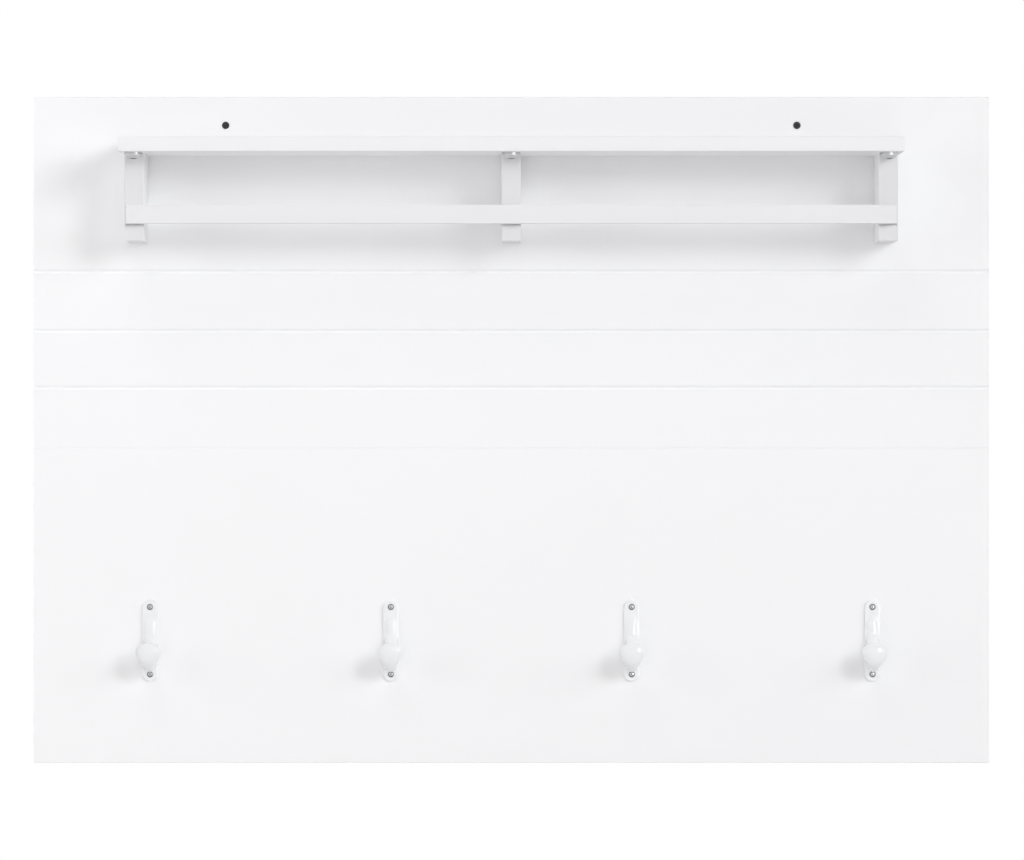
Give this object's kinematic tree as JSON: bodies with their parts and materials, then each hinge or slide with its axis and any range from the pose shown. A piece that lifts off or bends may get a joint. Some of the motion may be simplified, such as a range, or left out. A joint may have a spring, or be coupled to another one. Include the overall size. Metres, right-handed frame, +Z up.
{
  "type": "wall hook rack",
  "caption": "Wall-mounted coat rack with a grooved white panel, a shelf on posts, a hanging rail in front and a row of coat hooks below",
  "frame": {"origin": "on the wall, on the back of the centre batten, midway between the two wall screws and at their height", "axes": "+X runs along the rack to the right as seen from the room, +Y goes into the wall, +Z is up"},
  "size_m": [1, 0.16, 0.697],
  "materials": {
    "white_lacquer": "satin white lacquer on MDF",
    "hook_enamel": "glossy white enamel on a zinc casting",
    "planed_pine": "planed pine, unfinished",
    "beech_dowel": "fluted beech, unfinished",
    "zinc_plate": "bright zinc plating on pressed steel",
    "zinc_screw": "bright zinc plating on steel",
    "black_screw": "black phosphate on steel"
  },
  "bodies": {
    "root": {"upper_board": "white_lacquer", "lower_board": "white_lacquer", "batten_left": "planed_pine", "batten_centre": "planed_pine", "batten_right": "planed_pine", "shelf_board": "white_lacquer", "post_left": "white_lacquer", "post_centre": "white_lacquer", "post_right": "white_lacquer", "hanging_rail": "white_lacquer", "top_plate_left": "zinc_plate", "top_plate_centre": "zinc_plate", "top_plate_right": "zinc_plate", "hook_1": "hook_enamel", "hook_2": "hook_enamel", "hook_3": "hook_enamel", "hook_4": "hook_enamel", "wall_screw_left": "black_screw", "wall_screw_right": "black_screw", "batten_screw_left_1": "zinc_screw", "batten_screw_left_2": "zinc_screw", "batten_screw_left_3": "zinc_screw", "batten_screw_left_4": "zinc_screw", "batten_screw_centre_1": "zinc_screw", "batten_screw_centre_2": "zinc_screw", "batten_screw_centre_3": "zinc_screw", "batten_screw_centre_4": "zinc_screw", "batten_screw_right_1": "zinc_screw", "batten_screw_right_2": "zinc_screw", "batten_screw_right_3": "zinc_screw", "batten_screw_right_4": "zinc_screw", "post_screw_left_upper": "zinc_screw", "post_screw_left_lower": "zinc_screw", "post_screw_centre_upper": "zinc_screw", "post_screw_centre_lower": "zinc_screw", "post_screw_right_upper": "zinc_screw", "post_screw_right_lower": "zinc_screw", "shelf_screw_1": "zinc_screw", "shelf_screw_2": "zinc_screw", "shelf_screw_3": "zinc_screw", "shelf_screw_4": "zinc_screw", "rail_dowel_left": "beech_dowel", "rail_dowel_centre": "beech_dowel", "rail_dowel_right": "beech_dowel", "plate_screw_left": "zinc_screw", "tongue_screw_left": "zinc_screw", "plate_screw_centre": "zinc_screw", "tongue_screw_centre": "zinc_screw", "plate_screw_right": "zinc_screw", "tongue_screw_right": "zinc_screw", "hook_screw_1_upper": "zinc_screw", "hook_screw_1_lower": "zinc_screw", "hook_screw_2_upper": "zinc_screw", "hook_screw_2_lower": "zinc_screw", "hook_screw_3_upper": "zinc_screw", "hook_screw_3_lower": "zinc_screw", "hook_screw_4_upper": "zinc_screw", "hook_screw_4_lower": "zinc_screw"}
  },
  "joints": []
}
